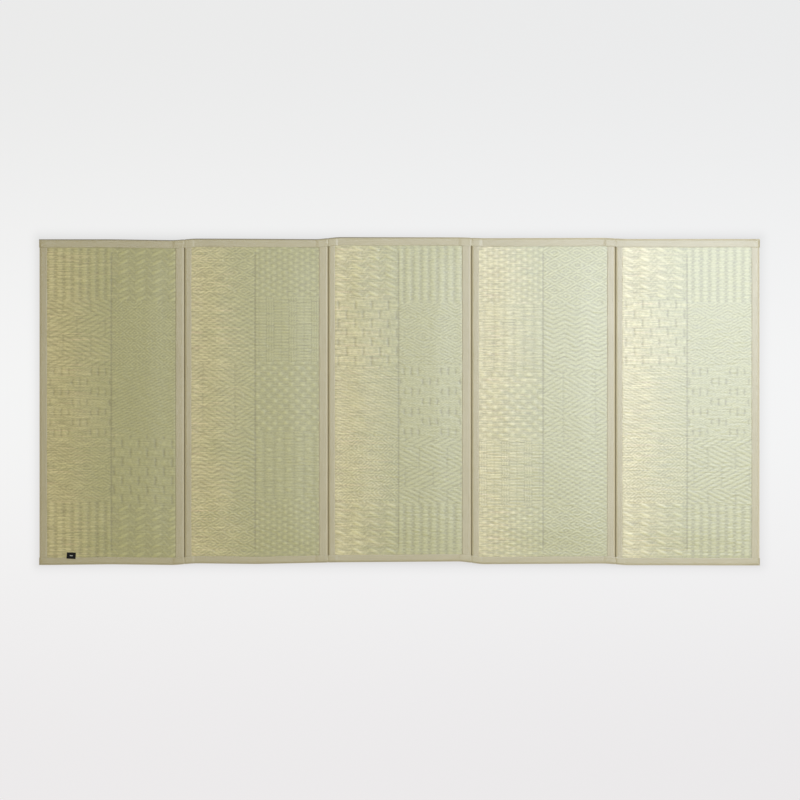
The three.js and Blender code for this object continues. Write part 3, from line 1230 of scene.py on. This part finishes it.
finishes = {
    "rush": rushFinish(),
    "tape": clothFinish("Beige tape", tapeLook),
    "thread": plainFinish("Sewing thread", {
        "dark": (0.46, 0.42, 0.29, 1), "light": (0.58, 0.53, 0.39, 1), "scale": 900,
    }),
    "backing": plainFinish("Backing cloth", {
        "dark": (0.44, 0.41, 0.31, 1), "light": (0.52, 0.49, 0.38, 1), "scale": 260,
    }),
    "label": labelFinish(),
}
print("finishes made")

for number in range(len(slips)):
    makePanel(number)
print("panels woven")

for number in range(len(folds)):
    makeFoldTape(number)
makeEndTape("end_tape_left", -1, mat["leftTape"])
makeEndTape("end_tape_right", 1, mat["rightTape"])
makeBinding("binding_far", 1, mat["farTape"])
makeBinding("binding_near", -1, mat["nearTape"])
makeLabel()
print("tapes and label laid")

studio = {
    "floorSize": 14.0,
    "floorGrey": (0.05, 0.05, 0.05, 1),
    "glowMiddle": (0.865, 0.865, 0.865, 1),
    "glowFar": (0.787, 0.787, 0.787, 1),
    "glowNear": (0.804, 0.788, 0.796, 1),
    "glowFade": 0.03,  # from the left to the right, which evens out what the lights add
    "shadow": 0.13,  # the mat's own soft shadow, on a floor that glows too much to take one
    "shadowWide": 0.042,
    "cameraHeight": 12.0,
    "viewWide": 2.3327,  # what the frame takes in at the mat's face
    "aim": (0.00146, 0.0037),
    "lights": [
        {
            "name": "key", "place": (3.8, -0.75, 2.2), "aim": (0.3, 0.0, 0.0),
            "size": 1.0, "power": 10.0, "colour": (1.0, 0.98, 0.95),
        },
        {
            "name": "window", "place": (1.2, 0.6, 2.7), "aim": (0.9, 0.3, 0.0),
            "size": 1.0, "power": 82.0, "colour": (0.715, 0.81, 1.0),
        },
    ],
    "skyColour": (1.0, 0.945, 0.705, 1),
    "skyStrength": 0.56,
}


def makeStage():
    scene = bpy.context.scene
    deselectAll()
    bpy.ops.mesh.primitive_plane_add(size=studio["floorSize"])
    floor = bpy.context.object
    floor.name = "floor"
    finish = Finish("Pale floor")
    place = finish.objectPlace()
    across = finish.parts(place, 1)
    away = across.size().over(edge=0.55, soft=0.55)
    glow = finish.blend(across.over(edge=0.0, soft=0.01), studio["glowNear"], studio["glowFar"])
    glow = finish.blend(away, studio["glowMiddle"], glow)
    alongMat = finish.parts(place, 0)
    pastEnd = (alongMat.size() - mat["length"] / 2).atLeast(0)
    pastSide = (across.size() - mat["width"] / 2).atLeast(0)
    past = (pastEnd * pastEnd + pastSide * pastSide) ** 0.5
    near = (1 - past * (1 / studio["shadowWide"])).atLeast(0)
    glow = finish.blend(alongMat.over(edge=0.0, soft=1.2) * studio["glowFade"], glow, (0, 0, 0, 1))
    glow = finish.blend(near * near * studio["shadow"], glow, (0, 0, 0, 1))
    finish.surface(Base_Color=studio["floorGrey"], Roughness=0.9, Specular_IOR_Level=0.0)
    finish.surface(Emission_Color=glow, Emission_Strength=1.0)
    floor.data.materials.append(finish.material)
    placeInMesh(floor)

    for lamp in studio["lights"]:
        light = bpy.data.lights.new(lamp["name"], "AREA")
        light.shape = "SQUARE"
        light.size = lamp["size"]
        light.energy = lamp["power"]
        light.color = lamp["colour"]
        holder = bpy.data.objects.new(lamp["name"], light)
        scene.collection.objects.link(holder)
        holder.location = lamp["place"]
        toMat = Vector(lamp["aim"]) - Vector(lamp["place"])
        holder.rotation_euler = toMat.to_track_quat("-Z", "Y").to_euler()

    world = bpy.data.worlds.new("studio")
    scene.world = world
    world.use_nodes = True
    sky = world.node_tree.nodes["Background"]
    sky.inputs["Color"].default_value = studio["skyColour"]
    sky.inputs["Strength"].default_value = studio["skyStrength"]

    camera = bpy.data.cameras.new("camera")
    camera.sensor_width = 36.0
    camera.lens = camera.sensor_width * studio["cameraHeight"] / studio["viewWide"]
    camera.clip_end = 50.0
    eye = bpy.data.objects.new("camera", camera)
    scene.collection.objects.link(eye)
    eye.location = (studio["aim"][0], studio["aim"][1], mat["padTop"] + studio["cameraHeight"])
    scene.camera = eye
    scene.view_settings.view_transform = "Standard"


makeStage()
print("stage set")
